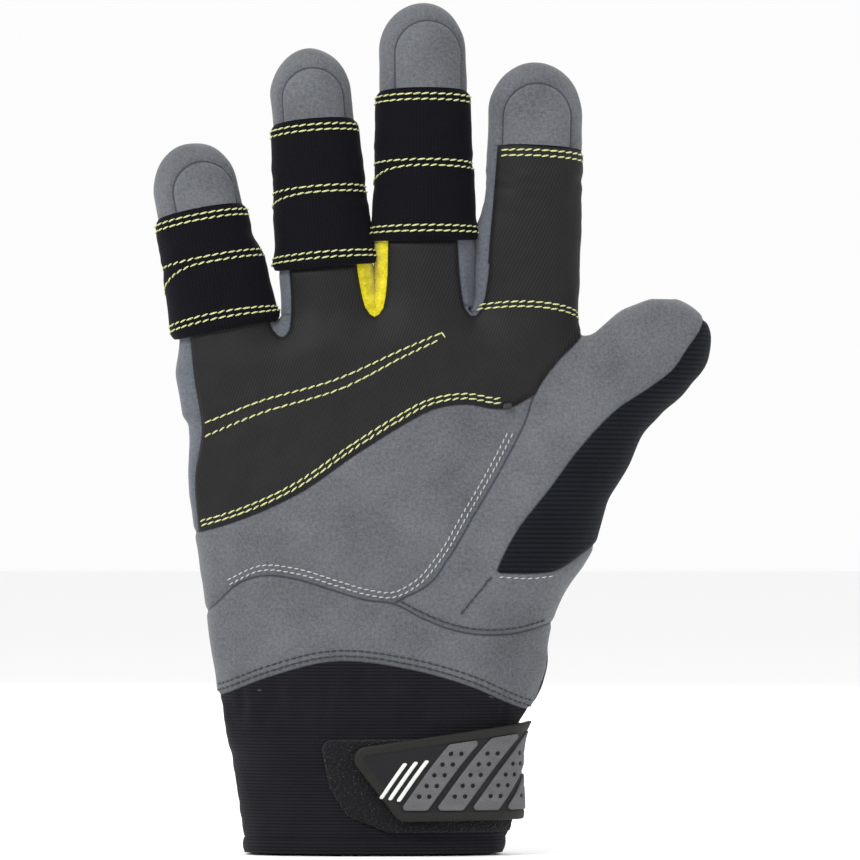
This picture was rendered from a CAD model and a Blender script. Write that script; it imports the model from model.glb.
import math

import bmesh
import bpy
import numpy as np
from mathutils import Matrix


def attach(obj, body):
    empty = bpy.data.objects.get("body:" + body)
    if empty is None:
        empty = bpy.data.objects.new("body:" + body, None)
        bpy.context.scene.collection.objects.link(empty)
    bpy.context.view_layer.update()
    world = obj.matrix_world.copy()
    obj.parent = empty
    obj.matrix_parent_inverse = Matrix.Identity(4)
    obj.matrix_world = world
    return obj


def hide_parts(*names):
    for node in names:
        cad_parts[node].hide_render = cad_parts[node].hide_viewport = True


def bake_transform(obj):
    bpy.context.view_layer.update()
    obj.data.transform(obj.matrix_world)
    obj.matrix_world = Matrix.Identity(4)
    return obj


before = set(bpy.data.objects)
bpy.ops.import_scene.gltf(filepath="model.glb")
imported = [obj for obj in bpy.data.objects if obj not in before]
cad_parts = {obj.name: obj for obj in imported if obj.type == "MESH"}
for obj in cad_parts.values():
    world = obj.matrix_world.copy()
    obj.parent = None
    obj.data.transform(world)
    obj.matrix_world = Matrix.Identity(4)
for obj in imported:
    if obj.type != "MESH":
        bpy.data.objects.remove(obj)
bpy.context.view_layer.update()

import openvdb
from mathutils import Vector, noise
from mathutils.bvhtree import BVHTree
from mathutils.kdtree import KDTree

# The glove's cloth is one smooth form, cut along its seams into panels. Each panel gets its
# own thickness, edge, wrinkles and material, and is then sewn down with stitches of thread.
# Lengths here are millimetres, and become metres when a mesh is made.

MM = 0.001
WALL = 1.1  # thickness of a panel
VOXEL = 0.8

# Form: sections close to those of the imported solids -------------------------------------

HAND_SECTIONS = [
    (0.0, -36.9, 37.2, 18.6),
    (9.0, -37.6, 41.0, 18.4),
    (24.0, -39.8, 39.8, 18.0),
    (36.0, -42.2, 40.6, 17.4),
    (40.0, -43.2, 43.4, 17.2),
    (45.0, -44.3, 48.6, 17.0),
    (57.0, -46.2, 51.6, 17.2),
    (68.0, -47.5, 48.5, 17.2),
    (84.0, -49.8, 49.0, 17.2),
    (106.0, -53.0, 50.0, 16.2),
    (122.0, -52.4, 52.5, 14.8),
    (138.0, -54.6, 56.5, 12.9),
    (153.0, -56.6, 58.6, 11.2),
]
WEB_TOP = [(-62, 147), (-44, 154), (-26, 152), (-12, 157), (1, 157), (15, 159), (29, 156), (44, 158),
           (60, 149)]
WEB_ROUNDING = 13.0


class Finger:
    """A finger's axis from its root to its tip, and where its seams lie along it."""

    def __init__(self, name, x, z, lean, length, half_width, half_depth, root_bend, knuckle, cut, covers,
                 bulge):
        self.name, self.x, self.z, self.length = name, x, z, length
        self.sin, self.cos = math.sin(math.radians(lean)), math.cos(math.radians(lean))
        self.half_width, self.half_depth = half_width, half_depth
        self.root_start, self.root_end = root_bend  # the bend at the hand runs between these
        self.knuckle = knuckle
        self.cut = cut  # where the root pieces end and the upper pieces start
        self.cover_low, self.cover_high = covers  # ends of the knit bands or the twill patch
        self.bulge = bulge  # how far each side swells at the root to meet its neighbour, and up to where

    def along(self, p):
        return (p[..., 0] - self.x) * self.sin + (p[..., 2] - self.z) * self.cos

    def across(self, p):
        return (p[..., 0] - self.x) * self.cos - (p[..., 2] - self.z) * self.sin

    def width(self, s, t):
        """Half the width at s, on the side that t is on."""
        left, right, end = self.bulge
        share = np.clip((s - end) / 10.0, 0, 1)
        return self.half_width + np.where(t > 0, right, left) * (1 - share * share * (3 - 2 * share))

    def angle(self, p):
        """0 on the palm side, 90 degrees on the thumb side, 180 on the back."""
        return np.degrees(np.arctan2(self.across(p) / self.half_width, -p[..., 1] / self.half_depth))

    def point(self, s, y=0.0, t=0.0):
        return np.array([self.x + s * self.sin + t * self.cos, y, self.z + s * self.cos - t * self.sin])


FINGERS = [
    Finger("little", -42.9, 150.0, -10.8, 55.0, 12.6, 9.0, (0.0, 12.0), 22.0, 13.5, (1.0, 36.0),
           (0.0, 1.7, 18.0)),
    Finger("ring", -11.9, 152.0, -4.8, 79.5, 11.9, 9.2, (3.5, 14.0), 38.5, 16.4, (16.4, 59.3),
           (1.8, 2.0, 14.0)),
    Finger("middle", 15.2, 154.0, -0.5, 90.7, 12.7, 9.3, (3.0, 14.0), 44.0, 22.0, (22.0, 66.0),
           (2.0, 2.3, 19.0)),
    Finger("index", 44.9, 152.0, 2.0, 75.5, 13.7, 9.3, (3.0, 14.0), 38.5, 17.0, (1.0, 51.5),
           (2.6, 0.3, 25.0)),
]
KNUCKLE_ZONE = 9.0  # half the length that bends at a middle joint
LITTLE_KNUCKLE_ZONE = 7.5

THUMB_Y = -3.0
THUMB_SECTIONS = [
    (35.0, 73.0, 13.6, 13.5),
    (48.5, 94.5, 15.0, 14.0),
    (61.0, 117.0, 12.6, 12.4),
    (72.9, 136.7, 13.0, 10.8),
    (80.6, 143.9, 13.3, 10.3),
    (85.2, 147.0, 12.0, 9.8),
]
THUMB_KNUCKLE = (75.5, 134.0)
THUMB_LEAN = math.radians(43.0)
THUMB_ROOT_ZONE = (56.0, 63.3)  # x between which the thumb's root bends
THUMB_CUT = -4.0  # along the thumb from its knuckle, where its upper pieces start
THUMB_KNUCKLE_END = 9.0

# Seams as (x, z) points
CUFF_SEAM = [(-60, 43.0), (-45, 45.0), (-30, 50.5), (-12, 55.0), (10, 53.0), (28, 48.0), (43, 41.5),
             (60, 37.0)]
HEEL_SEAM = [
    (-60, 62.0), (-45.4, 71.2), (-39.2, 76.9), (-30.8, 79.7), (-22.6, 78.9), (-10.1, 75.2), (-1.8, 72.8),
    (6.5, 71.6), (14.7, 67.5),
    (23, 64.2), (33.4, 62.6), (43.8, 63.6), (50, 65.4), (70, 70),
]
THUMB_SEAM = [
    (2, 62.0), (7.2, 72.3), (14.1, 75.7), (21.9, 84.6), (28.8, 96.2), (35.7, 108.0), (43.5, 122.7),
    (48.0, 134.0), (53.7, 141.7),
    (59.3, 147.6), (63, 160),
]
PATCH_HEM = [
    (-60, 90.5), (-49, 92.5), (-36, 96.5), (-20, 104.0), (-4, 115.0), (8, 122.5), (17, 127.3), (27, 129.0),
    (36.0, 127.7),
    (40.0, 128.0), (45.6, 131.1), (60, 140),
]
ULNAR_SEAM = [(-50.0, 60.0), (-50.0, 91.0), (-51.0, 108.0), (-49.0, 121.0), (-51.0, 136.0), (-52.8, 151.0),
              (-56, 170)]
THUMB_STRETCH = [
    (35.0, 60), (36.1, 81.5), (41.5, 92.4), (51.3, 105.1), (61, 117.8), (70.8, 127.6), (80.6, 134),
    (86.4, 138.5), (90.4, 144.3),
    (94.4, 150.1), (96.5, 165),
]
STRETCH_LOW = [(20, 80.6), (36, 80.6), (46, 80.3), (53.3, 81.2), (61, 86.0), (75, 97.0)]
SIDE_Y = 2.0  # where the front panels meet the back
BACK_SEAM = 46.0  # height of the seam between cuff and back
HAND_TOP = 159.5  # no cloth of the hand reaches above this
CROTCHES = [("little_ring", 148.2, 0.8), ("ring_middle", 154.2, -0.4), ("middle_index", 154.2, -0.3)]

SMOOTH_Z = (-14.0, 176.0)  # heights over which the hand's sections are smoothed
SMOOTH_X = (-75.0, 110.0)
kernel = np.exp(-0.5 * (np.arange(-12, 13) / 4.5) ** 2)
kernel /= kernel.sum()


def smoothed(levels, values, at, low, high):
    """A smooth curve near straight-line values, looked up at other levels."""
    grid = np.arange(low, high, 1.0)
    raw = np.interp(grid, levels, values)
    soft = np.convolve(np.pad(raw, 12, mode="edge"), kernel, mode="valid")
    return np.interp(at, grid, soft)


def curve_height(seam, x):
    """The height of a seam at x, as a cubic through its points."""
    xs, zs = (np.array(v, float) for v in zip(*seam))
    slope = np.gradient(zs, xs)
    i = np.clip(np.searchsorted(xs, x) - 1, 0, len(xs) - 2)
    h = xs[i + 1] - xs[i]
    t = np.clip((x - xs[i]) / h, 0, 1)
    a, b = 2 * t**3 - 3 * t**2 + 1, t**3 - 2 * t**2 + t
    c, d = -2 * t**3 + 3 * t**2, t**3 - t**2
    return a * zs[i] + b * h * slope[i] + c * zs[i + 1] + d * h * slope[i + 1]


def curve_x(seam, z):
    """The x of an upright seam at a height."""
    return curve_height([(b, a) for a, b in seam], z)


def soft_min(a, b, k):
    """The smaller of two fields, rounded off where they are within k of each other."""
    h = np.maximum(k - np.abs(a - b), 0) / k
    return np.minimum(a, b) - h * h * k / 4


def hand_section(z):
    """The hand's left edge, right edge and half depth at a height."""
    levels = [s[0] for s in HAND_SECTIONS]
    return (smoothed(levels, [s[i] for s in HAND_SECTIONS], z, *SMOOTH_Z) for i in (1, 2, 3))


def hand_field(p):
    """Below 0 inside the hand, from the wrist to the webs between the fingers."""
    x, y, z = p[..., 0], p[..., 1], p[..., 2]
    left, right, depth = hand_section(z)
    half = (right - left) / 2
    power = 2.5
    ring = (np.abs((x - (left + right) / 2) / half) ** power + np.abs(y / depth) ** power) ** (1 / power)
    xs, zs = zip(*WEB_TOP)
    top = smoothed(xs, zs, x, *SMOOTH_X)
    over = np.maximum(z - (top - WEB_ROUNDING), 0) / WEB_ROUNDING
    return (np.sqrt(ring**2 + over**2) - 1) * depth


def finger_field(f, p):
    """Below 0 inside one finger, whose tip is rounded and whose knuckle is a little narrower."""
    s, t, y = f.along(p), f.across(p), p[..., 1]
    rounding = f.half_width * 1.08
    over = np.maximum(s - (f.length - rounding), 0) / rounding
    taper = 1 - 0.03 * np.clip((s - f.knuckle) / (f.length - f.knuckle), 0, 1)
    waist = 1 - 0.02 * np.exp(-(((s - f.knuckle) / 5) ** 2))
    ring = np.sqrt((t / (f.width(s, t) * taper * waist)) ** 2 + (y / (f.half_depth * taper)) ** 2)
    under = np.maximum(-22.0 - s, 0)
    return (np.sqrt(ring**2 + over**2) - 1) * f.half_depth + under


def thumb_field(p):
    """Below 0 inside the thumb: stretches between its sections, melted into each other."""
    best = None
    for (x0, z0, w0, d0), (x1, z1, w1, d1) in zip(THUMB_SECTIONS, THUMB_SECTIONS[1:]):
        dx, dz = x1 - x0, z1 - z0
        length = math.hypot(dx, dz)
        raw = ((p[..., 0] - x0) * dx + (p[..., 2] - z0) * dz) / length**2
        h = np.clip(raw, 0, 1)
        h = h * h * (3 - 2 * h) * 0.5 + h * 0.5
        width, depth = w0 + (w1 - w0) * h, d0 + (d1 - d0) * h
        side = ((p[..., 0] - x0) * dz - (p[..., 2] - z0) * dx) / length
        beyond = np.maximum(np.maximum(-raw, raw - 1), 0) * length
        ring = np.sqrt((side / width) ** 2 + ((p[..., 1] - THUMB_Y) / depth) ** 2 + (beyond / width) ** 2)
        field = (ring - 1) * depth
        best = field if best is None else soft_min(best, field, 5.0)
    return best


def glove_field(p, fingers):
    """Below 0 inside the hand, the thumb and some of the fingers."""
    field = soft_min(hand_field(p), thumb_field(p), 9.0)
    return soft_min(field, np.min([finger_field(f, p) for f in fingers], axis=0), 5.0)


def surface(fingers, low, high):
    """Points, outward normals and triangles of the form between two corners."""
    low, high = np.array(low), np.array(high)
    axes = [np.arange(a, b, VOXEL) for a, b in zip(low, high)]
    grid = np.stack(np.meshgrid(*axes, indexing="ij"), axis=-1)
    field = glove_field(grid, fingers).astype(np.float32)
    vdb = openvdb.FloatGrid(4.0)
    vdb.copyFromArray(np.clip(field, -4.0, 4.0))
    points, triangles, quads = vdb.convertToPolygons(isovalue=0.0, adaptivity=0.0)
    verts = points.astype(float) * VOXEL + low
    halves = [quads[:, [0, 1, 2]], quads[:, [0, 2, 3]]]
    tris = np.concatenate([triangles, *halves] if len(triangles) else halves)
    step = 0.6
    slopes = []
    for e in step * np.eye(3):
        slopes.append(glove_field(verts + e, fingers) - glove_field(verts - e, fingers))
    normals = np.stack(slopes, axis=-1)
    normals /= np.linalg.norm(normals, axis=1, keepdims=True)
    a, b, c = (verts[tris[:, i]] for i in range(3))
    facing = np.einsum("ij,ij->i", np.cross(b - a, c - a), normals[tris[:, 0]])
    tris[facing < 0] = tris[facing < 0][:, ::-1]
    return verts, normals, tris


# Cutting cloth ----------------------------------------------------------------------------


class Cloth:
    """A stretch of the form: points, outward normals and triangles."""

    def __init__(self, v, n, t):
        self.v, self.n, self.t = v, n, t

    def only(self, mask):
        used, inverse = np.unique(self.t[mask], return_inverse=True)
        return Cloth(self.v[used], self.n[used], inverse.reshape(-1, 3))

    def cut(self, field):
        """The two sides of field == 0: where it is positive, and where it is negative."""
        f = np.array(field(self.v), float)
        edges = np.sort(np.concatenate([self.t[:, [0, 1]], self.t[:, [1, 2]], self.t[:, [2, 0]]]), axis=1)
        edges = np.unique(edges, axis=0)
        near = 0.1
        for _ in range(2):
            fa, fb = f[edges[:, 0]], f[edges[:, 1]]
            crossing = fa * fb < 0
            share = np.abs(fa) / (np.abs(fa) + np.abs(fb) + 1e-12)
            f[edges[crossing & (share < near), 0]] = 0.0
            f[edges[crossing & (share > 1 - near), 1]] = 0.0
        fa, fb = f[edges[:, 0]], f[edges[:, 1]]
        crossed = edges[fa * fb < 0]
        h = (f[crossed[:, 0]] / (f[crossed[:, 0]] - f[crossed[:, 1]]))[:, None]
        new_v = self.v[crossed[:, 0]] * (1 - h) + self.v[crossed[:, 1]] * h
        new_n = self.n[crossed[:, 0]] * (1 - h) + self.n[crossed[:, 1]] * h
        at = {(int(a), int(b)): len(self.v) + i for i, (a, b) in enumerate(crossed)}
        v, n = np.concatenate([self.v, new_v]), np.concatenate([self.n, new_n])
        g = np.concatenate([f, np.zeros(len(new_v))])
        signs = np.sign(f)[self.t]
        mixed = (signs.max(axis=1) > 0) & (signs.min(axis=1) < 0)
        extra = []
        for tri in self.t[mixed]:
            loop = []
            for i in range(3):
                a, b = int(tri[i]), int(tri[(i + 1) % 3])
                loop.append(a)
                middle = at.get((min(a, b), max(a, b)))
                if middle is not None:
                    loop.append(middle)
            for keep in (1, -1):
                part = [k for k in loop if g[k] * keep >= 0]
                extra += [(part[0], part[i], part[i + 1]) for i in range(1, len(part) - 1)]
        tris = np.concatenate([self.t[~mixed], np.array(extra, int).reshape(-1, 3)])
        whole = Cloth(v, n / np.linalg.norm(n, axis=1, keepdims=True), tris)
        side = g[tris].sum(axis=1) > 0
        return whole.only(side), whole.only(~side)

    def border(self):
        """Directed edges that belong to one triangle."""
        edges = np.concatenate([self.t[:, [0, 1]], self.t[:, [1, 2]], self.t[:, [2, 0]]])
        keys = np.sort(edges, axis=1)
        _, index, counts = np.unique(keys, axis=0, return_index=True, return_counts=True)
        return edges[index[counts == 1]]


def hash_noise(points, scale, seed):
    """Smooth noise at each point, with bumps about scale apart."""
    return np.array([noise.noise(Vector(q) / scale + Vector((seed, 2.3 * seed, -seed))) for q in points])


def hand_unroll(p):
    """Flat coordinates of a point on the hand: round its edge and up."""
    z = p[:, 2]
    levels = [s[0] for s in HAND_SECTIONS]
    left, right, depth = (np.interp(z, levels, [s[i] for s in HAND_SECTIONS]) for i in (1, 2, 3))
    x, y = p[:, 0], p[:, 1]
    flat_right, flat_left = right - depth, left + depth
    u = x.copy()
    over = x > flat_right
    u[over] = (flat_right + depth * np.arctan2(x - flat_right, np.abs(y)))[over]
    under = x < flat_left
    u[under] = (flat_left - depth * np.arctan2(flat_left - x, np.abs(y)))[under]
    return np.stack([np.where(y > 0, 200 - u, u), z], axis=1)


def finger_unroll(f):
    def unroll(p):
        angle = f.angle(p)
        angle = np.where(angle < -150, angle + 360, angle)
        return np.stack([f.x + np.radians(angle) * 11.0, f.z + f.along(p)], axis=1)

    return unroll


def front_view(p):
    return np.stack([np.where(p[:, 1] > 0, 300 - p[:, 0], p[:, 0]), p[:, 2]], axis=1)


# Materials --------------------------------------------------------------------------------


class Shader:
    """A node material on a Principled base, with short calls for its nodes."""

    def __init__(self, name, rough, sheen=0.0, specular=0.5):
        self.material = bpy.data.materials.new(name)
        self.material.use_nodes = True
        self.nodes = self.material.node_tree.nodes
        self.links = self.material.node_tree.links
        self.base = self.nodes["Principled BSDF"]
        self.base.inputs["Roughness"].default_value = rough
        self.base.inputs["Specular IOR Level"].default_value = specular
        self.base.inputs["Sheen Weight"].default_value = sheen
        self.base.inputs["Sheen Roughness"].default_value = 0.45
        self.uv = self.add("ShaderNodeUVMap", uv_map="cloth").outputs["UV"]
        self.height = None

    def add(self, kind, **settings):
        node = self.nodes.new(kind)
        for key, value in settings.items():
            setattr(node, key, value)
        return node

    def put(self, node, **values):
        for key, value in values.items():
            numbered = key.startswith("i") and key[1:].isdigit()
            socket = node.inputs[int(key[1:])] if numbered else node.inputs[key]
            if hasattr(value, "links"):
                self.links.new(value, socket)
            else:
                socket.default_value = value
        return node

    def scaled(self, x, y, turn=0.0):
        node = self.add("ShaderNodeMapping")
        self.put(node, Vector=self.uv, Scale=(x, y, 1.0), Rotation=(0, 0, turn))
        return node.outputs["Vector"]

    def noise(self, scale, detail=3.0, rough=0.6, stretch=(1.0, 1.0)):
        node = self.add("ShaderNodeTexNoise")
        self.put(node, Vector=self.scaled(*stretch), Scale=scale, Detail=detail, Roughness=rough)
        return node.outputs["Fac"]

    def wave(self, pitch, turn=0.0, distortion=0.0, profile="SIN"):
        """Ridges at a pitch in millimetres: across v when turn is 0."""
        node = self.add("ShaderNodeTexWave", bands_direction="Y", wave_profile=profile)
        self.put(node, Vector=self.scaled(1.0, 1.0, turn), Scale=10.0 * math.pi / pitch)
        self.put(node, Distortion=distortion, Detail=1.5)
        node.inputs["Detail Scale"].default_value = 25.0
        return node.outputs["Fac"]

    def math(self, kind, a, b=0.0):
        node = self.add("ShaderNodeMath", operation=kind)
        self.put(node, i0=a, i1=b)
        return node.outputs[0]

    def total(self, *parts):
        """The sum of (pattern, weight) pairs."""
        weighted = [self.math("MULTIPLY", pattern, weight) for pattern, weight in parts]
        tone = weighted[0]
        for more in weighted[1:]:
            tone = self.math("ADD", tone, more)
        return tone

    def ramp(self, fac, stops):
        node = self.add("ShaderNodeValToRGB")
        self.put(node, Fac=fac)
        ramp = node.color_ramp
        while len(ramp.elements) < len(stops):
            ramp.elements.new(0.5)
        for element, (place, colour) in zip(ramp.elements, stops):
            element.position = place
            element.color = (*colour, 1.0)
        return node.outputs["Color"]

    def mix(self, fac, a, b, kind="MIX"):
        node = self.add("ShaderNodeMix", data_type="RGBA", blend_type=kind)
        for name, value in (("Factor", fac), ("A", a), ("B", b)):
            wanted = "VALUE" if name == "Factor" else "RGBA"
            socket = [s for s in node.inputs if s.name == name and s.type == wanted][0]
            if hasattr(value, "links"):
                self.links.new(value, socket)
            else:
                socket.default_value = value if name == "Factor" else (*value, 1.0)
        return [s for s in node.outputs if s.type == "RGBA"][0]

    def colour(self, value):
        self.links.new(value, self.base.inputs["Base Color"])
        return self

    def near_edge(self, start, end):
        """1 at a panel's edge, down to 0 between two distances from it in millimetres."""
        node = self.add("ShaderNodeMapRange", interpolation_type="SMOOTHSTEP")
        distance = self.add("ShaderNodeAttribute", attribute_name="edge").outputs["Fac"]
        self.put(node, Value=distance)
        for name, value in (("From Min", start), ("From Max", end), ("To Min", 1.0), ("To Max", 0.0)):
            node.inputs[name].default_value = value
        return node.outputs["Result"]

    def bump(self, height, distance, strength=1.0):
        node = self.add("ShaderNodeBump")
        self.put(node, Height=height, Distance=distance * MM, Strength=strength)
        if self.height is not None:
            self.links.new(self.height, node.inputs["Normal"])
        self.height = node.outputs["Normal"]
        self.links.new(self.height, self.base.inputs["Normal"])
        return self


def suede(name, dark, light, patches=0.25):
    s = Shader(name, 0.95, sheen=0.2, specular=0.2)
    nap = s.noise(300.0, 3.0, 0.8)
    brushed = s.noise(105.0, 4.0, 0.75)
    cloudy = s.noise(6.0, 4.0, 0.55)
    tone = s.total((nap, 0.5), (brushed, 0.5))
    tone = s.math("ADD", tone, s.math("MULTIPLY", s.math("SUBTRACT", cloudy, 0.5), patches))
    cloth = s.ramp(tone, [(0.34, dark), (0.66, light)])
    seam = s.math("MULTIPLY", s.near_edge(0.05, 0.55), 0.7)
    s.colour(s.mix(seam, cloth, (0.012, 0.016, 0.034)))
    return s.bump(nap, 0.2, 0.8).bump(brushed, 0.2, 0.5).material


def knit(name, colour, light, pitch=0.62):
    s = Shader(name, 0.9, sheen=0.03, specular=0.1)
    rows = s.wave(pitch, 0.0, 1.5)
    columns = s.wave(pitch * 1.3, math.pi / 2, 1.5)
    stitch = s.math("MULTIPLY", rows, columns)
    fuzz = s.noise(260.0, 3.0, 0.7)
    tone = s.total((stitch, 0.25), (fuzz, 0.75))
    s.colour(s.ramp(tone, [(0.3, colour), (0.75, light)]))
    return s.bump(stitch, 0.07, 0.5).bump(fuzz, 0.1, 0.6).material


def twill(name, colour, light):
    s = Shader(name, 0.62, sheen=0.02, specular=0.22)
    lines = s.wave(0.78, math.radians(-70), 0.8)
    cross = s.wave(0.5, math.radians(20), 0.8)
    worn = s.noise(9.0, 4.0, 0.6)
    fibre = s.noise(300.0, 2.0, 0.6)
    tone = s.total((lines, 0.42), (worn, 0.34), (fibre, 0.24))
    s.colour(s.ramp(tone, [(0.25, colour), (0.8, light)]))
    return s.bump(lines, 0.10, 0.45).bump(cross, 0.05, 0.3).bump(worn, 0.5, 0.3).material


def ribs(name, colour, light, pitch, turn=0.0, deep=0.35):
    s = Shader(name, 0.9, sheen=0.05, specular=0.12)
    rows = s.wave(pitch, turn, 2.2)
    fine = s.wave(0.55, turn + math.pi / 2, 0.8)
    fuzz = s.noise(240.0, 3.0, 0.7)
    broad = s.noise(6.0, 2.0, 0.5)
    tone = s.total((rows, 0.4), (fuzz, 0.35), (broad, 0.25))
    s.colour(s.ramp(tone, [(0.3, colour), (0.85, light)]))
    return s.bump(rows, deep, 0.75).bump(fine, 0.1, 0.5).bump(fuzz, 0.1, 0.5).material


def pile(name, colour, light):
    s = Shader(name, 0.95, sheen=0.08, specular=0.1)
    loops = s.add("ShaderNodeTexVoronoi")
    s.put(loops, Vector=s.scaled(1.0, 1.0), Scale=150.0)
    fuzz = s.noise(300.0, 4.0, 0.8)
    specks = s.ramp(s.noise(240.0, 1.0, 0.5), [(0.68, (0, 0, 0)), (0.74, (1, 1, 1))])
    dark = s.ramp(fuzz, [(0.3, colour), (0.75, light)])
    s.colour(s.mix(s.math("MULTIPLY", specks, 0.35), dark, (0.35, 0.35, 0.37)))
    return s.bump(loops.outputs["Distance"], 0.6, 0.8).bump(fuzz, 0.4, 0.8).material


def fleece(name, dark, light):
    s = Shader(name, 0.95, sheen=0.4, specular=0.15)
    fuzz = s.noise(170.0, 4.0, 0.75)
    clumps = s.noise(40.0, 3.0, 0.6)
    tone = s.total((fuzz, 0.55), (clumps, 0.45))
    s.colour(s.ramp(tone, [(0.35, dark), (0.62, light)]))
    return s.bump(fuzz, 0.4, 0.8).bump(clumps, 0.5, 0.5).material


def thread(name, dark, light):
    s = Shader(name, 0.55, sheen=0.2, specular=0.5)
    strands = s.wave(0.5, math.radians(35), 0.2)
    tint = s.noise(30.0, 2.0, 0.5)
    tone = s.total((strands, 0.5), (tint, 0.5))
    s.colour(s.ramp(tone, [(0.2, dark), (0.75, light)]))
    return s.bump(strands, 0.08, 0.7).material


def moulded(name, dark, light, rough=0.5, inside=None):
    s = Shader(name, rough, specular=0.28)
    grain = s.noise(230.0, 3.0, 0.6)
    scuffs = s.noise(14.0, 5.0, 0.65, (1.0, 2.5))
    tone = s.total((grain, 0.4), (scuffs, 0.6))
    colour = s.ramp(tone, [(0.35, dark), (0.7, light)])
    s.colour(colour if inside is None else s.mix(s.near_edge(*inside[0]), inside[1], colour))
    s.links.new(s.ramp(scuffs, [(0.3, (rough - 0.08,) * 3), (0.75, (rough + 0.14,) * 3)]),
                s.base.inputs["Roughness"])
    return s.bump(grain, 0.05, 0.5).material


GREY = suede("grey_suede", (0.044, 0.047, 0.053), (0.144, 0.152, 0.166))
GREY_SIDE = suede("grey_fourchette", (0.045, 0.050, 0.061), (0.135, 0.146, 0.170), 0.15)
BLACK_KNIT = knit("black_knit", (0.0010, 0.0010, 0.0022), (0.0060, 0.0060, 0.0098))
TWILL = twill("charcoal_twill", (0.0012, 0.0011, 0.0012), (0.0118, 0.0112, 0.0114))
STRETCH = ribs("black_stretch", (0.0016, 0.0024, 0.0038), (0.0085, 0.0120, 0.0170), 1.35, deep=0.22)
CUFF = ribs("cuff_ribs", (0.0026, 0.0024, 0.0038), (0.0150, 0.0140, 0.0190), 0.95, deep=0.12)
LINING = knit("lining", (0.02, 0.02, 0.022), (0.05, 0.05, 0.055))
YELLOW = fleece("yellow_fleece", (0.36, 0.29, 0.003), (0.74, 0.64, 0.02))
PILE = pile("loop_pile", (0.0035, 0.0033, 0.004), (0.018, 0.0175, 0.020))
YELLOW_THREAD = thread("yellow_thread", (0.34, 0.35, 0.13), (0.66, 0.67, 0.31))
WHITE_THREAD = thread("white_thread", (0.27, 0.28, 0.28), (0.50, 0.52, 0.52))
DARK_THREAD = thread("dark_thread", (0.003, 0.003, 0.005), (0.012, 0.013, 0.018))
RUBBER = moulded("tab_rubber", (0.0040, 0.0038, 0.0028), (0.0090, 0.0086, 0.0066), 0.55,
                 inside=((2.4, 2.7), (0.0022, 0.0023, 0.0036)))
RUBBER_GREY = moulded("tab_grey", (0.068, 0.068, 0.072), (0.118, 0.118, 0.125), 0.6)
RUBBER_LIGHT = moulded("tab_light", (0.55, 0.56, 0.54), (0.72, 0.73, 0.70), 0.5)
WEBBING = ribs("webbing", (0.005, 0.005, 0.006), (0.022, 0.022, 0.026), 0.9, math.pi / 2, 0.2)


# Sewing -----------------------------------------------------------------------------------


def ride_or_blend(obj, how):
    if isinstance(how, str):
        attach(obj, how)
    else:
        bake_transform(obj)


def mesh_object(name, verts, faces, uvs, materials, face_material, sharp=(), edge=None):
    """A smooth mesh object in metres, with its flat coordinates in a UV map."""
    mesh = bpy.data.meshes.new(name)
    mesh.from_pydata((np.asarray(verts) * MM).tolist(), [], [tuple(int(i) for i in f) for f in faces])
    mesh.polygons.foreach_set("use_smooth", [True] * len(mesh.polygons))
    mesh.polygons.foreach_set("material_index", [int(i) for i in face_material])
    layer = mesh.uv_layers.new(name="cloth")
    corner = np.zeros(len(mesh.loops), int)
    mesh.loops.foreach_get("vertex_index", corner)
    layer.data.foreach_set("uv", (np.asarray(uvs)[corner] * 0.01).ravel())
    if edge is not None:
        mesh.attributes.new("edge", "FLOAT", "POINT").data.foreach_set("value", np.asarray(edge, float))
    for material in materials:
        mesh.materials.append(material)
    if len(sharp):
        wanted = {(min(a, b), max(a, b)) for a, b in sharp}
        for edge in mesh.edges:
            if tuple(sorted(edge.vertices)) in wanted:
                edge.use_edge_sharp = True
    obj = bpy.data.objects.new(name, mesh)
    bpy.context.collection.objects.link(obj)
    return obj


def distance_to(border, points):
    """How far each point is from the nearest end or middle of a border's edges."""
    tree = KDTree(2 * len(border))
    for i, (a, b) in enumerate(border):
        tree.insert(Vector(points[a]), 2 * i)
        tree.insert(Vector((points[a] + points[b]) / 2), 2 * i + 1)
    tree.balance()
    return np.array([tree.find(Vector(q))[2] for q in points])


def layer_faces(tris, border, count):
    """A layer's faces: its outside, its inside turned over, and the rim that joins them."""
    a, b = border[:, 0], border[:, 1]
    rim = np.stack([b, a, a + count, b + count], axis=1)
    return [tuple(q) for side in (tris, (tris + count)[:, ::-1], rim) for q in side]


def panel(name, cloth, how, material, offset=0.0, seam=0.45, hidden=(), unroll=hand_unroll,
          replaces=(), detail=None):
    """Makes one sewn panel: its outside stands proud of the form by offset and rounds down at its edges."""
    border = cloth.border()
    middle = (cloth.v[border[:, 0]] + cloth.v[border[:, 1]]) / 2
    is_hidden = np.zeros(len(border), bool)
    for cut in hidden:
        is_hidden |= np.abs(cut(middle)) < 0.12
    real = border[~is_hidden]
    lift = np.full(len(cloth.v), offset)
    away = np.full(len(cloth.v), 99.0)
    if len(real):
        away = distance_to(real, cloth.v)
        pressed = (max(offset, 0) * 0.55 + 0.05) * np.exp(-((away / 0.7) ** 2))
        lift -= pressed + seam * np.exp(-((away / 1.0) ** 2))
    if detail is not None:
        lift = lift + detail(cloth.v)
    outer = cloth.v + cloth.n * lift[:, None]
    inner = cloth.v - cloth.n * WALL
    count = len(cloth.v)
    faces = layer_faces(cloth.t, real, count)
    kinds = [0] * len(cloth.t) + [1] * len(cloth.t) + [0] * len(real)
    uv = unroll(cloth.v)
    sharp = np.concatenate([real, real + count]) if len(real) else ()
    obj = mesh_object(name, np.concatenate([outer, inner]), faces, np.concatenate([uv, uv]),
                      [material, LINING], kinds, sharp,
                      np.concatenate([away, away]))
    if replaces:
        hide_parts(*replaces)
    ride_or_blend(obj, how)
    return obj


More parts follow.
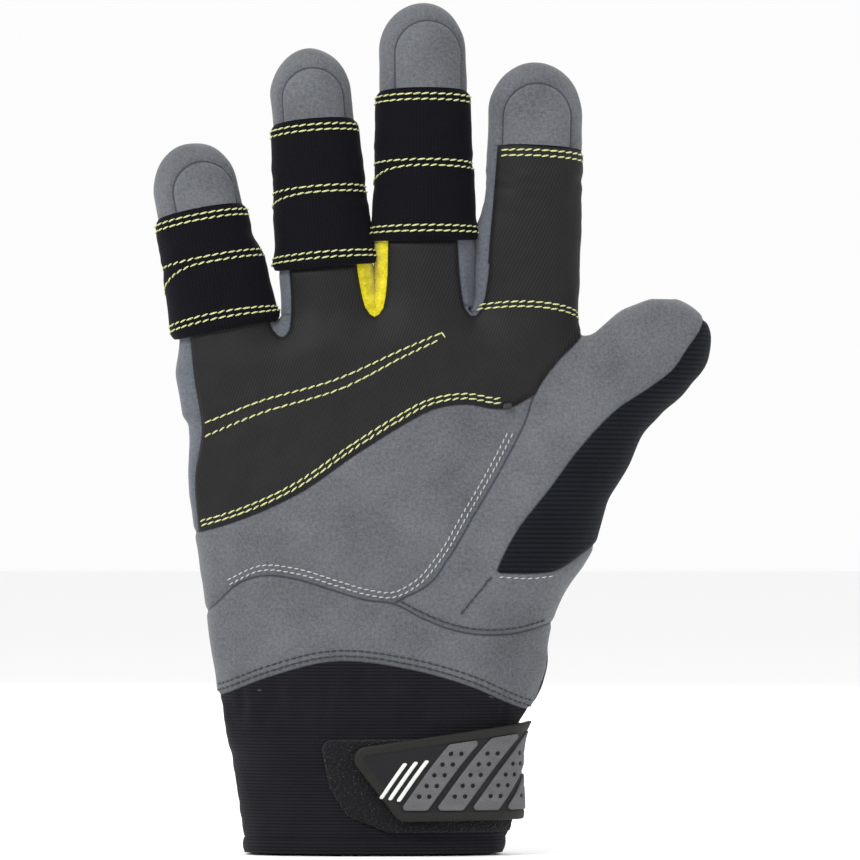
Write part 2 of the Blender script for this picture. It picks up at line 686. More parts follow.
def along_row(at, run, values):
    """A row's point or normal at a length along it."""
    return np.array([np.interp(at, run, values[:, k]) for k in range(3)])


def stitches(name, rows, how, material, pitch=2.45, length=2.2, radius=0.25, rise=0.2, slant=-0.17):
    """Thread stitches along rows; each row is a list of (point, normal) on the cloth."""
    verts, faces, uvs = [], [], []
    rings, sides = 5, 6
    for row in rows:
        points = np.array([p for p, _ in row])
        normals = np.array([n for _, n in row])
        run = np.concatenate([[0], np.cumsum(np.linalg.norm(np.diff(points, axis=0), axis=1))])
        start = 0.4
        while start + length < run[-1]:
            first = len(verts)
            uneven = noise.noise(Vector((start * 3.7, points[0, 2], points[0, 0])))
            reach = length * (1 + 0.2 * uneven)
            for i in range(rings):
                share = i / (rings - 1)
                at = start + reach * share
                centre, normal = along_row(at, run, points), along_row(at, run, normals)
                ahead = along_row(at + 0.2, run, points) - along_row(at - 0.2, run, points)
                normal /= np.linalg.norm(normal)
                side = np.cross(ahead, normal)
                side /= np.linalg.norm(side) + 1e-9
                bow = math.sin(math.pi * share)
                thick = radius * (0.45 + 0.55 * bow**0.5)
                aside = side * reach * (share - 0.5) * (slant + 0.2 * uneven)
                centre = centre + normal * (rise * bow - 0.12) + aside
                for j in range(sides):
                    turn = 2 * math.pi * j / sides
                    verts.append(centre + side * thick * math.cos(turn) + normal * thick * math.sin(turn))
                    uvs.append((thick * turn, at))
            for i in range(rings - 1):
                for j in range(sides):
                    k = (j + 1) % sides
                    lower, upper = first + i * sides, first + (i + 1) * sides
                    faces.append((lower + j, lower + k, upper + k, upper + j))
            faces.append(tuple(first + j for j in reversed(range(sides))))
            faces.append(tuple(first + (rings - 1) * sides + j for j in range(sides)))
            start += pitch * (1 + 0.06 * uneven)
    obj = mesh_object(name, np.array(verts), faces, np.array(uvs), [material], [0] * len(faces))
    ride_or_blend(obj, how)
    return obj


def wrinkles(p):
    """How far the cloth stands off its smooth form."""
    z = p[:, 2]
    soft = 0.42 * hash_noise(p, 15.0, 1.0) + 0.2 * hash_noise(p, 6.0, 4.0)
    stretched = p * np.array([1.0, 1.0, 0.22])
    gather = hash_noise(stretched, 3.6, 7.0)
    soft += 0.75 * gather * np.exp(-(((z - 43) / 8) ** 2))
    rings = p * np.array([0.25, 0.25, 1.0])
    soft += 0.35 * hash_noise(rings, 3.2, 9.0) * np.clip((z - 3) / 5, 0, 1) * np.clip((52 - z) / 10, 0, 1)
    for f in FINGERS:
        s = f.along(p)
        near = (np.abs(f.across(p)) < f.half_width + 1.5) & (s > f.root_start)
        fold = np.exp(-(((s - f.knuckle) / 8) ** 2))
        soft += np.where(near, 0.4 * fold * hash_noise(p * np.array([0.35, 0.5, 1.0]), 2.6, 11.0), 0)
    return soft


def sewn_form(fingers, low, high):
    """The form of the hand and some fingers, with its wrinkles, and a tree of it for placing stitches."""
    verts, normals, tris = surface(fingers, low, high)
    cloth = Cloth(verts + normals * wrinkles(verts)[:, None], normals, tris)
    return cloth, BVHTree.FromPolygons([Vector(q) for q in cloth.v],
                                       [tuple(int(i) for i in t) for t in cloth.t])


def finger_part(f, beside=1.5):
    """Positive on the cloth that belongs to a finger: past its root line, and between its sides."""
    return lambda p: np.minimum(
        f.along(p) - f.root_start, f.width(f.along(p), f.across(p)) + beside - np.abs(f.across(p))
    )


print("form")
form, form_tree = sewn_form(FINGERS, (-70.0, -24.0, -8.0), (103.0, 23.0, 250.0))
rest, _ = form.cut(lambda p: p[:, 2])
for f in FINGERS:
    _, rest = rest.cut(finger_part(f, 0.7))
rest, _ = rest.cut(lambda p: HAND_TOP - p[:, 2])
thumb_right = lambda p: p[:, 0] - curve_x(THUMB_SEAM, p[:, 2])
heel_above = lambda p: p[:, 2] - curve_height(HEEL_SEAM, p[:, 0])
patch_above = lambda p: p[:, 2] - curve_height(PATCH_HEM, p[:, 0])


def back_side(p):
    """Positive on the back; at the wrist's thumb side the back comes round to the front."""
    across, up = np.clip((p[:, 0] - 30) / 15, 0, 1), np.clip((64 - p[:, 2]) / 8, 0, 1)
    return p[:, 1] - SIDE_Y + 4.0 * across * up


ulnar_right = lambda p: p[:, 0] - curve_x(ULNAR_SEAM, p[:, 2])


def cuff_above(p):
    """Positive above the cuff's seam, which climbs and falls in front and is level behind."""
    share = np.clip((p[:, 1] + 6) / 12, 0, 1)
    share = share * share * (3 - 2 * share)
    return p[:, 2] - (curve_height(CUFF_SEAM, p[:, 0]) * (1 - share) + BACK_SEAM * share)


hand_upper, cuff_cloth = rest.cut(cuff_above)


def thumb_along(p):
    """Distance along the thumb from its knuckle."""
    x, z = THUMB_KNUCKLE
    return (p[:, 0] - x) * math.sin(THUMB_LEAN) + (p[:, 2] - z) * math.cos(THUMB_LEAN)


# Pieces of the fingers ----------------------------------------------------------------------

BAND_ANGLE, TWILL_ANGLE, SIDE_ANGLE = 101.0, 104.0, 116.0  # how far round a finger each cloth reaches
MM_PER_DEGREE = 0.2  # round a finger
THUMB_SIDE = {"little": 50.0, "ring": 50.0, "middle": 50.0, "index": TWILL_ANGLE}
OUTER_SIDE = {"little": -TWILL_ANGLE, "ring": -50.0, "middle": -50.0, "index": -48.0}
BAND_PROUD, TWILL_PROUD = 1.0, 0.55
TIP_ARCS = {"little": (2.2, 9.2, 5.8), "ring": (0.4, 9.3, 5.4), "middle": (1.6, 9.9, 5.2),
            "index": (0.6, 10.2, 6.0)}
SIDE_CLOTH = {
    ("little", 1): GREY_SIDE, ("ring", -1): GREY_SIDE, ("ring", 1): YELLOW, ("middle", -1): YELLOW,
    ("middle", 1): GREY_SIDE, ("index", -1): GREY_SIDE,
}


def meeting_x(left, right, z):
    """The x of the line on which two fingers meet."""
    total = weight = 0.0
    for f, w in ((left, left.half_width + left.bulge[1]), (right, right.half_width + right.bulge[0])):
        total, weight = total + (f.x * f.cos + (z - f.z) * f.sin) / w, weight + f.cos / w
    return total / weight


GORE_LEVELS, GORE_WIDTHS = [-10, 0.0, 0.6, 2.5, 6.0, 12.0, 24.0], [-10, 0.0, 1.2, 2.5, 3.3, 4.1, 4.9]


def gore(k):
    """Positive on the strip of cloth that runs down between two fingers and up again, seen from the front."""
    left, right, low, shift = FINGERS[k], FINGERS[k + 1], CROTCHES[k][1], CROTCHES[k][2]

    def field(p):
        z = p[:, 2]
        away = np.abs(p[:, 0] - meeting_x(left, right, z) - shift)
        return np.interp(z - low, GORE_LEVELS, GORE_WIDTHS) - away

    return field


def finger_blend(f, upper):
    """The two bodies that a finger's cloth is bent between, and where along it."""
    if upper:
        zone = LITTLE_KNUCKLE_ZONE if f.name == "little" else KNUCKLE_ZONE
        start, end = f.knuckle - zone, f.knuckle + zone
        return (f.name + "_lower", f.name + "_upper", f.point(start), f.point(end))
    return ("hand", f.name + "_lower", f.point(f.root_start), f.point(f.root_end))


def between_angles(cloth, f, low, high):
    """The part of a finger's cloth from one angle to another, and the rest."""

    def field(p):
        a = f.angle(p)
        middle = (low + high) / 2
        away = np.abs((a - middle + 180) % 360 - 180)
        return ((high - low) / 2 - away) * MM_PER_DEGREE

    return cloth.cut(field)


def tip_arc(f):
    """Positive inside the pad sewn to the front of a fingertip."""
    centre, half, below_tip = TIP_ARCS[f.name]

    def field(p):
        s, t = f.along(p), f.across(p) - centre
        over = np.maximum(s - (f.length - below_tip - half), 0) / half
        inside = half * (1 - np.sqrt((t / half) ** 2 + over**2))
        return np.where(p[:, 1] < 0, np.minimum(inside, -p[:, 1]), -np.abs(p[:, 1]) - 0.1)

    return field


def flare(f):
    """A knit band stands further off towards its lower edge."""
    return lambda p: 1.5 * np.clip((f.cover_high - f.along(p)) / (f.cover_high - f.cover_low), 0, 1)


def gores(f):
    """The strips beside a finger: which side each is on, and its field."""
    k = FINGERS.index(f)
    return ([(-1, gore(k - 1))] if k > 0 else []) + ([(1, gore(k))] if k < 3 else [])


def root_front(f):
    """Positive on the twill front of a finger's root."""

    def field(p):
        angle = f.angle(p)
        best = (TWILL_ANGLE - np.abs(angle)) * MM_PER_DEGREE
        for sign, strip in gores(f):
            best = np.where(angle * sign > 0, np.minimum(-strip(p), np.where(p[:, 1] < 0, 9.0, -9.0)), best)
        return best

    return field


def side_strip(f, sign):
    """Positive on the strip on one side of a finger's root; the front has been cut away already."""
    return lambda p: np.where(f.angle(p) * sign > 0, (SIDE_ANGLE - np.abs(f.angle(p))) * MM_PER_DEGREE,
                              -5.0)


def index_twill(p):
    """Positive on the index finger's twill, whose outer edge leans towards its middle."""
    f = FINGERS[3]
    outer_edge = f.across(p) + 12.2 - 0.045 * (f.along(p) - f.cut)
    inner_edge = (TWILL_ANGLE - f.angle(p)) * MM_PER_DEGREE
    return np.where(f.angle(p) > 0, inner_edge, np.where(p[:, 1] < 0, outer_edge, -9.0))


def make_finger(f, cloth):
    """Cuts a finger's cloth into its panels, from the root to the tip."""
    name = f.name
    cut = lambda p: f.along(p) - f.cut
    root = lambda p: f.along(p) - f.root_start
    upper, lower = cloth.cut(cut)
    unroll = finger_unroll(f)

    # Below the cut: the twill front, a strip on each side, and the back
    how = finger_blend(f, False)
    if name == "little":
        front, others = between_angles(lower, f, -BAND_ANGLE, BAND_ANGLE)
    else:
        front, others = lower.cut(root_front(f))
    material, slot, proud = TWILL, "charcoal_twill", TWILL_PROUD
    if name == "little":
        material, slot, proud = BLACK_KNIT, "knit_band", BAND_PROUD
    hidden = (cut,) if name == "little" else (cut, root) if name == "index" else (root,)
    panel(name + "_root_front", front, how, material, proud, hidden=hidden, unroll=unroll,
          detail=flare(f) if name == "little" else None,
          replaces=[name + "_lower_face", name + ("_lower_patch" if name == "index" else "_lower_band")])
    for sign, kind in ((-1, "outer"), (1, "inner")):
        colour = SIDE_CLOTH.get((name, sign))
        if colour is None or name == "little":
            continue
        strip, others = others.cut(side_strip(f, sign))
        panel(f"{name}_root_{kind}_side", strip, how, colour, 0.1, hidden=(cut,),
              unroll=unroll,
              replaces=[])
    panel(name + "_root_back", others, how, STRETCH, 0.0, hidden=(cut, root),
          unroll=unroll,
          replaces=[name + "_lower_back", name + "_root_gusset"])

    # Above it: the band or twill, the suede fingertip, and the back
    how = finger_blend(f, True)
    over = lambda p: f.along(p) - f.cover_high + COVER_DROOP * (1 - np.cos(np.radians(f.angle(p))))
    tip, covered = upper.cut(over)
    if name == "index":
        cover, others = covered.cut(index_twill)
        panel(name + "_twill", cover, how, TWILL, TWILL_PROUD, hidden=(cut,),
              unroll=unroll,
              replaces=[name + "_upper_patch"])
        strip, others = between_angles(others, f, -SIDE_ANGLE, OUTER_SIDE[name])
        panel(name + "_outer_side", strip, how, GREY_SIDE, 0.0, hidden=(cut, over),
              unroll=unroll)
    else:
        cover, others = between_angles(covered, f, -BAND_ANGLE, BAND_ANGLE)
        panel(name + "_band", cover, how, BLACK_KNIT, BAND_PROUD,
              hidden=(cut,) if name == "little" else (),
              unroll=unroll, replaces=[name + "_upper_band"], detail=flare(f))
    panel(name + "_back", others, how, STRETCH, 0.0, hidden=(cut,), unroll=unroll,
          replaces=[name + "_knuckle_gusset"])
    wrap, tip_front = tip.cut(lambda p: np.minimum(np.abs(f.angle(p)) * MM_PER_DEGREE - 24.0,
                                                   f.length - 19.0 - f.along(p)))
    if len(wrap.t):
        panel(name + "_tip_back", wrap, how, STRETCH, 0.0, unroll=unroll,
              replaces=[name + "_upper_back"])
    pad, around = tip_front.cut(tip_arc(f))
    panel(name + "_tip_pad", pad, how, GREY, 0.25, seam=0.9, unroll=unroll,
          replaces=[name + "_upper_face"], hidden=(over,))
    panel(name + "_tip_wrap", around, how, GREY, 0.0, seam=0.8, unroll=unroll,
          replaces=[name + "_tip_wrap"],
          hidden=(over,))


# Rows of stitches ---------------------------------------------------------------------------


def cast(origin, direction, tree, cloth):
    """Where a line from origin meets the cloth, and the cloth's outward direction there."""
    hit, _, index, _ = tree.ray_cast(Vector(origin), Vector(direction))
    if hit is None:
        hit, _, index, _ = tree.find_nearest(Vector(origin))
    normal = cloth.n[cloth.t[index]].sum(axis=0)
    return np.array(hit), normal / np.linalg.norm(normal)


def lifted(points, offset):
    """Points moved off the cloth."""
    return [(hit + normal * offset, normal) for hit, normal in points]


def front_row(curve, offset, shift=0.0):
    """A row of stitches over the front, along a smooth curve of (x, z) points, moved sideways by shift."""
    pts = np.array(curve, float)
    chord = np.concatenate([[0], np.cumsum(np.linalg.norm(np.diff(pts, axis=0), axis=1))])
    at = np.linspace(0, chord[-1], max(int(chord[-1] / 0.8), 3))
    line = np.stack([curve_height(list(zip(chord, pts[:, k])), at) for k in (0, 1)], axis=1)
    ahead = np.gradient(line, axis=0)
    ahead /= np.linalg.norm(ahead, axis=1, keepdims=True)
    line = line + np.stack([-ahead[:, 1], ahead[:, 0]], axis=1) * shift
    return lifted([cast((x, -60, z), (0, 1, 0), form_tree, form) for x, z in line], offset)


def round_row(f, s, low, high, offset, dip, droop, at, flared=True):
    """A row of stitches round a finger at s. dip is how far its outer end curves down, droop how far
    both ends do."""
    out = []
    for angle in np.arange(low, high + 0.1, 3.0):
        a = math.radians(angle)
        level = s - dip * max(0.0, (-angle - 15.0) / 85.0) ** 1.6 - droop * (1 - math.cos(a))
        way = np.array([math.sin(a) * f.half_width * f.cos, -math.cos(a) * f.half_depth,
                        -math.sin(a) * f.half_width * f.sin])
        way /= np.linalg.norm(way)
        hit, normal = cast(f.point(level), way, *at)
        out.append((hit + normal * (offset + (flare(f)(hit[None])[0] if flared else 0)), normal))
    return out


COVER_DROOP = 1.2  # how much lower a cover's upper edge is at the finger's sides


def finger_stitches(f, *at):
    """The rows on a finger's cover and at its root."""
    name = f.name
    if name == "index":
        low, high = OUTER_SIDE[name] + 2, THUMB_SIDE[name] - 2
        on_twill = TWILL_PROUD + 0.05
        rows = [
            round_row(f, f.cover_high - q, low, high, on_twill, 0, COVER_DROOP, at, False) for q in (1.5,
                3.1)
        ]
        stitches(name + "_top_rows", rows, finger_blend(f, True), YELLOW_THREAD)
        rows = [round_row(f, q, low - 16, high - 4, on_twill, 0, 3.2, at, False) for q in (5.0, 6.4)]
        stitches(name + "_root_rows", rows, finger_blend(f, False), YELLOW_THREAD)
        return
    reach, on_band = BAND_ANGLE - 3, BAND_PROUD + 0.05
    middle = 20.6 if name == "little" else f.knuckle
    dip = {"little": 6.0, "ring": 2.4, "middle": 4.5}[name]
    rows = [round_row(f, f.cover_high - q, -reach, reach, on_band, 0, COVER_DROOP, at) for q in (1.8, 3.4)]
    middle_rows = ((-0.4, dip), (1.3, 0.0))
    rows += [round_row(f, middle + q, -reach, reach, on_band, d, 1.3, at) for q, d in middle_rows]
    low_rows = [round_row(f, f.cover_low + q, -reach, reach, on_band, 0, 1.6, at) for q in (2.8, 4.4)]
    if name == "little":
        stitches(name + "_root_rows", low_rows, finger_blend(f, False), YELLOW_THREAD)
    else:
        rows += low_rows
    stitches(name + "_rows", rows, finger_blend(f, True), YELLOW_THREAD)


print("fingers")
for f in FINGERS:
    low, high = f.point(-6, t=-f.half_width - 6), f.point(f.length + 4, t=f.half_width + 6)
    corner = (min(low[0], high[0]) - 12, -24.0, 140.0)
    cloth, tree = sewn_form([f], tuple(VOXEL * round(q / VOXEL) for q in corner),
                            (max(low[0], high[0]) + 12, 23.0, 250.0))
    mine, _ = cloth.cut(finger_part(f))
    make_finger(f, mine)
    finger_stitches(f, tree, cloth)

# Hand ---------------------------------------------------------------------------------------

print("hand")


def finger_roots(p):
    """0 on the lines where the fingers start."""
    return np.min([np.abs(finger_part(f)(p)) for f in FINGERS], axis=0)


upper_front, upper_back = hand_upper.cut(lambda p: -back_side(p))
for k, ((name, _, _), colour) in enumerate(zip(CROTCHES, (GREY_SIDE, YELLOW, GREY_SIDE))):
    web, upper_front = upper_front.cut(gore(k))
    if len(web.t):
        panel(name + "_web", web, "hand", colour, 0.1, hidden=(finger_roots,),
              replaces=[name + "_fourchette"])

front_top, wrist = upper_front.cut(heel_above)
thumb_front, palm = front_top.cut(thumb_right)
patch, heel = palm.cut(patch_above)
patch, ulnar = patch.cut(ulnar_right)
panel("palm_patch", patch, "hand", TWILL, 0.6, hidden=(finger_roots,),
      replaces=["palm_patch"])
panel("ulnar_strip", ulnar, "hand", GREY_SIDE, 0.0, hidden=(finger_roots,))
panel("palm_suede", heel, "hand", GREY, 0.0, replaces=["palm_panel"])
panel("wrist_panel", wrist, "hand", GREY, 0.1, replaces=["wrist_panel"])

BACK_THUMB_SEAM = [(41, 40), (39, 60), (38, 80), (39, 100), (42, 118), (47, 132), (58, 150), (62, 160)]
back_thumb_right = lambda p: p[:, 0] - curve_x(BACK_THUMB_SEAM, p[:, 2])
thumb_back, back_hand = upper_back.cut(back_thumb_right)
panel("back_panel", back_hand, "hand", STRETCH, 0.0, hidden=(finger_roots,),
      replaces=["back_panel"])

# Thumb: a grey front, and a black ribbed panel over its outer side and its back


def front_stretch(p):
    """Positive on the black panel that comes round to the front of the thumb."""
    right = (p[:, 0] - curve_x(THUMB_STRETCH, p[:, 2])) * 0.75
    return np.minimum(right, p[:, 2] - curve_height(STRETCH_LOW, p[:, 0]))


thumb_cut = lambda p: thumb_along(p) - THUMB_CUT
kx, kz = THUMB_KNUCKLE
root_way = ("hand", "thumb_lower", (THUMB_ROOT_ZONE[0], THUMB_Y, 115.0),
            (THUMB_ROOT_ZONE[1], THUMB_Y, 115.0))
knuckle_way = ("thumb_lower", "thumb_upper") + tuple(
    (kx + s * math.sin(THUMB_LEAN), THUMB_Y, kz + s * math.cos(THUMB_LEAN))
    for s in (THUMB_CUT, THUMB_KNUCKLE_END)
)
side_edge = lambda p: -back_side(p)
outer, face = thumb_front.cut(front_stretch)
for cloth, name, material, slot, hidden, low_nodes, high_nodes in (
    (face, "thumb_face", GREY, "grey_suede", (thumb_cut,), ["thumb_root_panel", "thumb_lower_face"],
     ["thumb_upper_face"]),
    (outer, "thumb_side", STRETCH, "black_stretch", (thumb_cut, side_edge),
     ["thumb_lower_back", "thumb_root_gusset"],
     ["thumb_upper_back"]),
    (thumb_back, "thumb_back", STRETCH, "black_stretch", (thumb_cut, side_edge), [],
     ["thumb_knuckle_gusset"]),
):
    above, below = cloth.cut(thumb_cut)
    panel(name + "_lower", below, root_way, material, 0.0, hidden=hidden, unroll=front_view,
          replaces=low_nodes)
    panel(name + "_upper", above, knuckle_way, material, 0.0, hidden=hidden, unroll=front_view,
          replaces=high_nodes)

# Cuff ---------------------------------------------------------------------------------------

HEM_TOP = 4.2
cuff, hem = cuff_cloth.cut(lambda p: p[:, 2] - HEM_TOP)
panel("cuff", cuff, "hand", CUFF, -0.2, seam=0.3, replaces=["cuff", "wrist_elastic"])
panel("cuff_hem", hem, "hand", CUFF, 0.1, seam=0.3, replaces=["cuff_hem"])


def outline_field(points, corner=0.0):
    """Positive inside an outline with rounded corners."""
    pts = np.array(points, float)

    def field(q):
        best, inside = np.full(len(q), 1e9), np.zeros(len(q), bool)
        for a, b in zip(pts, np.roll(pts, -1, axis=0)):
            e, w = b - a, q - a
            h = np.clip((w @ e) / (e @ e), 0, 1)
            best = np.minimum(best, np.linalg.norm(w - h[:, None] * e, axis=1))
            crosses = ((a[1] > q[:, 1]) != (b[1] > q[:, 1])) & (
                q[:, 0] < (b[0] - a[0]) * (q[:, 1] - a[1]) / (b[1] - a[1] + 1e-12) + a[0]
            )
            inside ^= crosses
        return np.where(inside, best, -best) + corner

    return field


def section_point(angle, z):
    """A point of the cuff and its outward direction; angle is 0 at the thumb side and 90 degrees in front."""
    left, right, depth = hand_section(z)
    half, c, s = (right - left) / 2, np.cos(angle), np.sin(angle)
    x = (left + right) / 2 + half * np.sign(c) * np.abs(c) ** 0.8
    y = -depth * np.sign(s) * np.abs(s) ** 0.8
    rx, ry = np.sign(c) * np.abs(c) ** 1.2 / half, -np.sign(s) * np.abs(s) ** 1.2 / depth
    size = np.hypot(rx, ry)
    return x, y, rx / size, ry / size


STRAP_MIDDLE_Z = 23.0
strap_angles = np.linspace(math.radians(-60), math.radians(150), 1500)
sx, sy, _, _ = section_point(strap_angles, np.full(len(strap_angles), STRAP_MIDDLE_Z))
run = np.concatenate([[0], np.cumsum(np.hypot(np.diff(sx), np.diff(sy)))])
# Length along the strap from x = 0, towards the thumb side
run = run[np.argmin(np.abs(sx) + (sy > 0) * 100)] - run


def run_at(y):
    """Length along the strap at which the cuff's thumb side has this y."""
    return float(run[np.argmin(np.abs(sy - y) + (sx < 20) * 100)])


def rounded(points, radius):
    """The field of a convex outline whose corners are rounded."""
    pts = np.array(points, float)
    area = sum(a[0] * b[1] - a[1] * b[0] for a, b in zip(pts, np.roll(pts, -1, axis=0)))
    if area < 0:
        pts = pts[::-1]
    ways = np.roll(pts, -1, axis=0) - pts
    ways /= np.linalg.norm(ways, axis=1, keepdims=True)
    inward = np.stack([-ways[:, 1], ways[:, 0]], axis=1)
    small = []
    for i in range(len(pts)):
        j = i - 1
        m = np.array([inward[i], inward[j]])
        small.append(np.linalg.solve(m, np.array([inward[i] @ pts[i], inward[j] @ pts[i]]) + radius))
    return outline_field(small, radius)


def slab(name, shape, area, low, high, material, body="strap", bevel=0.35, step=0.5, replaces=(),
         rough=0.0, holes=None,
         recess=None):
    """A layer over the cuff, between two distances from it, with rounded edges. shape and holes are fields of
    (length along the strap, height)."""
    u, v = np.meshgrid(np.arange(area[0], area[1], step), np.arange(area[2], area[3], step), indexing="ij")
    index = np.arange(u.size).reshape(u.shape)
    a, b, c, d = index[:-1, :-1], index[1:, :-1], index[1:, 1:], index[:-1, 1:]
    tris = np.concatenate([np.stack([a, b, c], -1).reshape(-1, 3), np.stack([a, c, d], -1).reshape(-1, 3)])
    flat = Cloth(np.stack([u.ravel(), v.ravel(), 0 * u.ravel()], 1), np.tile([0.0, 0.0, 1.0], (u.size, 1)),
                 tris)
    kept, _ = flat.cut(lambda p: shape(p[:, :2]))
    if holes is not None:
        _, kept = kept.cut(lambda p: holes(p[:, :2]))
    border = kept.border()
    away = distance_to(border, kept.v)
    drop = np.clip(1 - away / bevel, 0, 1)
    top = high - bevel * (1 - np.sqrt(np.maximum(1 - drop**2, 0)))
    if recess is not None:
        share = np.clip((shape(kept.v[:, :2]) - recess[0]) / 0.5, 0, 1)
        top = top - recess[1] * share * share * (3 - 2 * share)
    if rough:
        top = top + rough * hash_noise(kept.v, 0.9, 3.0) + 0.5 * rough * hash_noise(kept.v, 0.45, 5.0)
    x, y, nx, ny = section_point(np.interp(kept.v[:, 0], run[::-1], strap_angles[::-1]), kept.v[:, 1])
    place, way = np.stack([x, y, kept.v[:, 1]], 1), np.stack([nx, ny, 0 * nx], 1)
    outer, inner = place + way * top[:, None], place + way * low
    count = len(place)
    faces = layer_faces(kept.t, border, count)
    obj = mesh_object(name, np.concatenate([outer, inner]), faces, np.tile(kept.v[:, :2], (2, 1)),
                      [material],
                      [0] * len(faces), border + count, np.concatenate([away, 0 * away]))
    if replaces:
        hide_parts(*replaces)
    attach(obj, body)
    return obj


print("strap")
FRONT_END, BACK_END = run_at(-4.3), run_at(13.5)
loop_outline = [(-13.8, 32.6), (-12.6, 19.0), (-8.5, 11.0), (4.0, 6.2), (FRONT_END + 3, 6.2),
                (FRONT_END + 3, 33.5)]
slab("loop_field", rounded(loop_outline, 3.0), (-16, FRONT_END, 5, 36), -0.5, 0.95, PILE,
     "hand", bevel=0.8,
     replaces=["loop_field"], rough=0.3)
anchor = [(FRONT_END + 0.3, 11.0), (BACK_END, 11.0), (BACK_END, 37.0), (FRONT_END + 0.3, 37.0)]
slab("strap_anchor", rounded(anchor, 1.0), (FRONT_END - 1, BACK_END + 1, 9, 39), -0.5, 2.6, WEBBING,
     "hand",
     replaces=["strap_anchor"])

TAB_RISE = 0.155  # the tab's upper edge climbs along its length
tab_outline = [(-7.4, 30.0), (6.6, 9.3), (FRONT_END + 6, 9.9),
               (FRONT_END + 6, 31.1 + TAB_RISE * (FRONT_END + 6))]
tab_shape = rounded(tab_outline, 4.0)
reach = (-9, FRONT_END, 8, 42)
hook = [(-2.0, 28.6), (9.0, 12.0), (34.0, 12.0), (34.0, 32.5)]
slab("hook_pad", rounded(hook, 2.0), reach, 1.25, 1.85, PILE, bevel=0.15,
     replaces=["hook_pad"], rough=0.12)
web = [(-3.0, 29.4), (8.8, 11.0), (FRONT_END + 6, 11.0), (FRONT_END + 6, 35.5)]
slab("strap_web", rounded(web, 2.0), reach, 1.85, 2.75, WEBBING, bevel=0.3,
     replaces=["strap_web"])
slab("strap_tab", tab_shape, reach, 2.75, 4.2, RUBBER, bevel=0.5, step=0.35,
     replaces=["strap_tab"],
     recess=(2.4, 0.35))
LEAN = 0.77
INSERTS, INSERT_START, INSERT_PITCH, INSERT_WIDTH, INSERT_LOW = 4, 7.0, 9.85, 7.7, 12.6
INSERT_TOP = 28.2  # height of the inserts' tops where the strap's length is 0
DOT_ROWS, DOT_PITCH, DOT_COLUMNS, DOT_RADIUS = 5, 3.05, (2.6, 5.4), 0.62


def slanted(start, width, low, top_at):
    """A slanted strip's four corners; top_at gives the height of the top at a length."""
    corners = []
    for first in (start, start + width):
        rise = (top_at(first) - low) / (1 - TAB_RISE * LEAN)
        corners.append((first + LEAN * rise, low + rise))
    return [(start, low), (start + width, low), corners[1], corners[0]]


def dots(q):
    """Positive inside the round holes in the tab's inserts."""
    best = np.full(len(q), -1.0)
    for i in range(INSERTS):
        for row in range(DOT_ROWS):
            z = INSERT_LOW + 4.0 + DOT_PITCH * row
            for column in DOT_COLUMNS:
                u = INSERT_START + INSERT_PITCH * i + column + LEAN * (z - INSERT_LOW)
                best = np.maximum(best, DOT_RADIUS - np.hypot(q[:, 0] - u, q[:, 1] - z))
    return best


strips = [
    rounded(slanted(INSERT_START + INSERT_PITCH * i, INSERT_WIDTH, INSERT_LOW,
                    lambda u: INSERT_TOP + TAB_RISE * u), 0.9)
    for i in range(INSERTS)
]
slab("tab_inserts", lambda q: np.max([s(q) for s in strips], axis=0), reach, 3.7, 4.4, RUBBER_GREY,
     bevel=0.2,
     step=0.3, replaces=["tab_inserts"], holes=dots)
bars = [
    rounded(slanted(1.2 + 2.4 * i, 1.3, 16.0 - 0.4 * i, lambda u: 25.0 + 0.3 * i), 0.35) for i in range(3)
]
slab("tab_bars", lambda q: np.max([s(q) for s in bars], axis=0), reach, 3.7, 4.3, RUBBER_LIGHT,
     bevel=0.15,
     step=0.25, replaces=["tab_bars"])

# Rows on the hand ---------------------------------------------------------------------------

print("rows")
ON_TWILL, ON_SUEDE = 0.66, 0.1
hem_x = np.linspace(-48.5, 39.0, 60)
hem = [(x, float(curve_height(PATCH_HEM, np.array([x]))[0])) for x in hem_x]
rows = [front_row(hem, ON_TWILL, q) for q in (1.5, 2.8)]
rows += [front_row([(-48, 123.5), (-34, 129), (-10, 136), (10, 145), (20, 149.2)], ON_TWILL)]
rows += [front_row([(-48, 119.5), (-33, 125.8), (-8, 133.6), (11, 143.4), (20.5, 147.8)], ON_TWILL)]
rows += [front_row([(20.9, 147.4), (19.9, 150.2)], ON_TWILL)]
stitches("palm_rows", rows, "hand", YELLOW_THREAD)
knob = [front_row([(37.6 + 0.5 * i, 127.0), (38.4 + 0.5 * i, 129.6)], ON_TWILL + 0.3) for i in range(4)]
stitches("hem_knob", knob, "hand", DARK_THREAD, pitch=2.4, length=1.9, radius=0.5,
         slant=0.0)
heel_row = [
    (-40.5, 75.6), (-30.8, 79.7), (-22.6, 78.9), (-10.1, 75.2), (-1.8, 72.8), (6.5, 72.0), (14.1, 75.7),
    (21.9, 84.6), (28.8, 96.2),
    (35.7, 108.0), (42.0, 120.0),
]
stitches("heel_rows", [front_row(heel_row, ON_SUEDE, q) for q in (1.6, 3.0)], "hand", WHITE_THREAD,
         pitch=1.9,
         length=1.35, radius=0.2)
stitches("heel_dashes", [front_row([(36.2, 79.4), (46, 79.0), (53.0, 79.8)], ON_SUEDE)], "hand",
         WHITE_THREAD,
         pitch=2.1, length=1.3, radius=0.2)
seam_x = np.linspace(-44.0, 47.5, 50)
seam = [(x, float(curve_height(CUFF_SEAM, np.array([x]))[0])) for x in seam_x]
rows = [front_row(seam, ON_SUEDE, q) for q in (1.5, 3.1)]
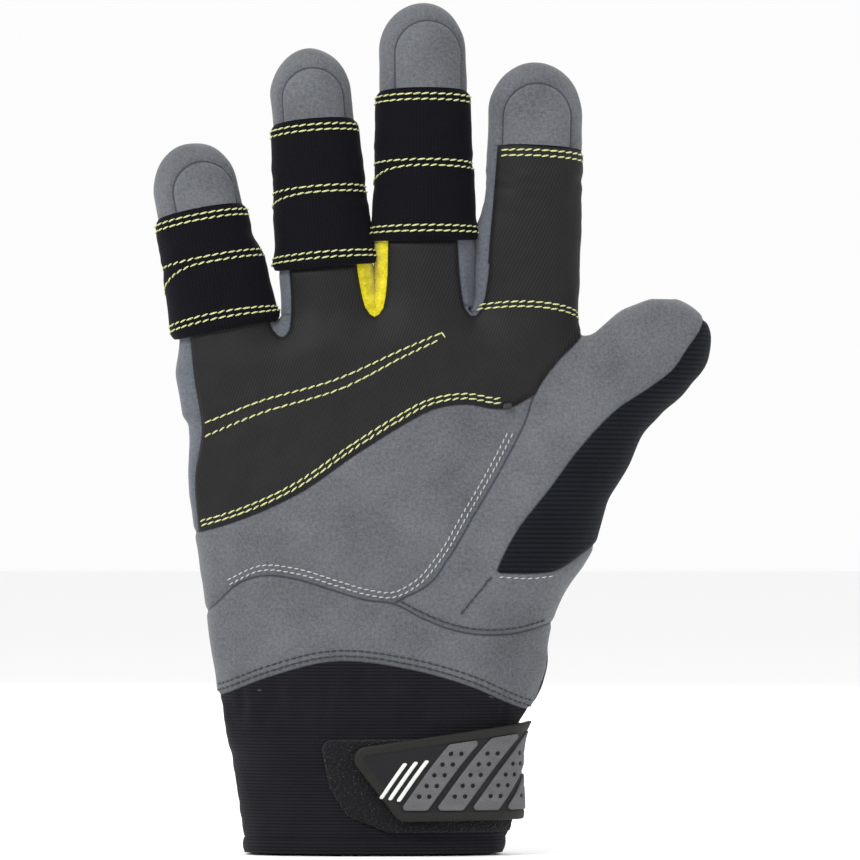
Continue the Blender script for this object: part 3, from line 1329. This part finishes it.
rows += [front_row([(7.6, 72.6), (14.7, 68.9), (23, 65.6), (33.4, 64.0), (43.8, 65.0), (50, 66.8)],
                   ON_SUEDE, 0.2)]
rows += [front_row([(34.6, 79.8), (24.8, 67.9)], ON_SUEDE)]
stitches("wrist_rows", rows, "hand", DARK_THREAD, pitch=2.0, length=1.9, radius=0.3,
         slant=0.0)

# Floor, light and camera --------------------------------------------------------------------

mesh = bpy.data.meshes.new("floor")
mesh.from_pydata([(-6, -6, -0.0006), (6, -6, -0.0006), (6, 6, -0.0006), (-6, 6, -0.0006)], [],
                 [(0, 1, 2, 3)])
floor = bpy.data.objects.new("floor", mesh)
bpy.context.collection.objects.link(floor)
pale = bpy.data.materials.new("floor")
pale.use_nodes = True
pale.node_tree.nodes["Principled BSDF"].inputs["Base Color"].default_value = (0.93, 0.93, 0.93, 1)
pale.node_tree.nodes["Principled BSDF"].inputs["Roughness"].default_value = 0.9
mesh.materials.append(pale)


def area_light(name, place, size, power):
    light = bpy.data.lights.new(name, "AREA")
    light.shape, light.size, light.energy = "DISK", size, power
    obj = bpy.data.objects.new(name, light)
    bpy.context.collection.objects.link(obj)
    obj.location = place
    obj.rotation_euler = (Vector((0.015, 0, 0.12)) - Vector(place)).to_track_quat("-Z", "Y").to_euler()


area_light("key", (-0.8, -0.9, 1.2), 0.6, 16.0)
area_light("fill", (1.1, -1.0, 0.5), 1.0, 3.0)
area_light("back", (0.2, 1.4, 1.0), 1.0, 9.0)
world = bpy.data.worlds.new("studio")
world.use_nodes = True
world.node_tree.nodes["Background"].inputs["Color"].default_value = (1, 1, 1, 1)
world.node_tree.nodes["Background"].inputs["Strength"].default_value = 0.85
bpy.context.scene.world = world
bpy.context.scene.view_settings.view_transform = "Standard"
bpy.context.scene.view_settings.exposure = 0.2

camera = bpy.data.cameras.new("camera")
camera.lens, camera.sensor_width = 436.0, 36.0
view = bpy.data.objects.new("camera", camera)
bpy.context.collection.objects.link(view)
view.location = (0.0167, -3.0, 0.1215)
view.rotation_euler = (math.pi / 2, 0, 0)
camera.clip_end = 50.0
bpy.context.scene.camera = view
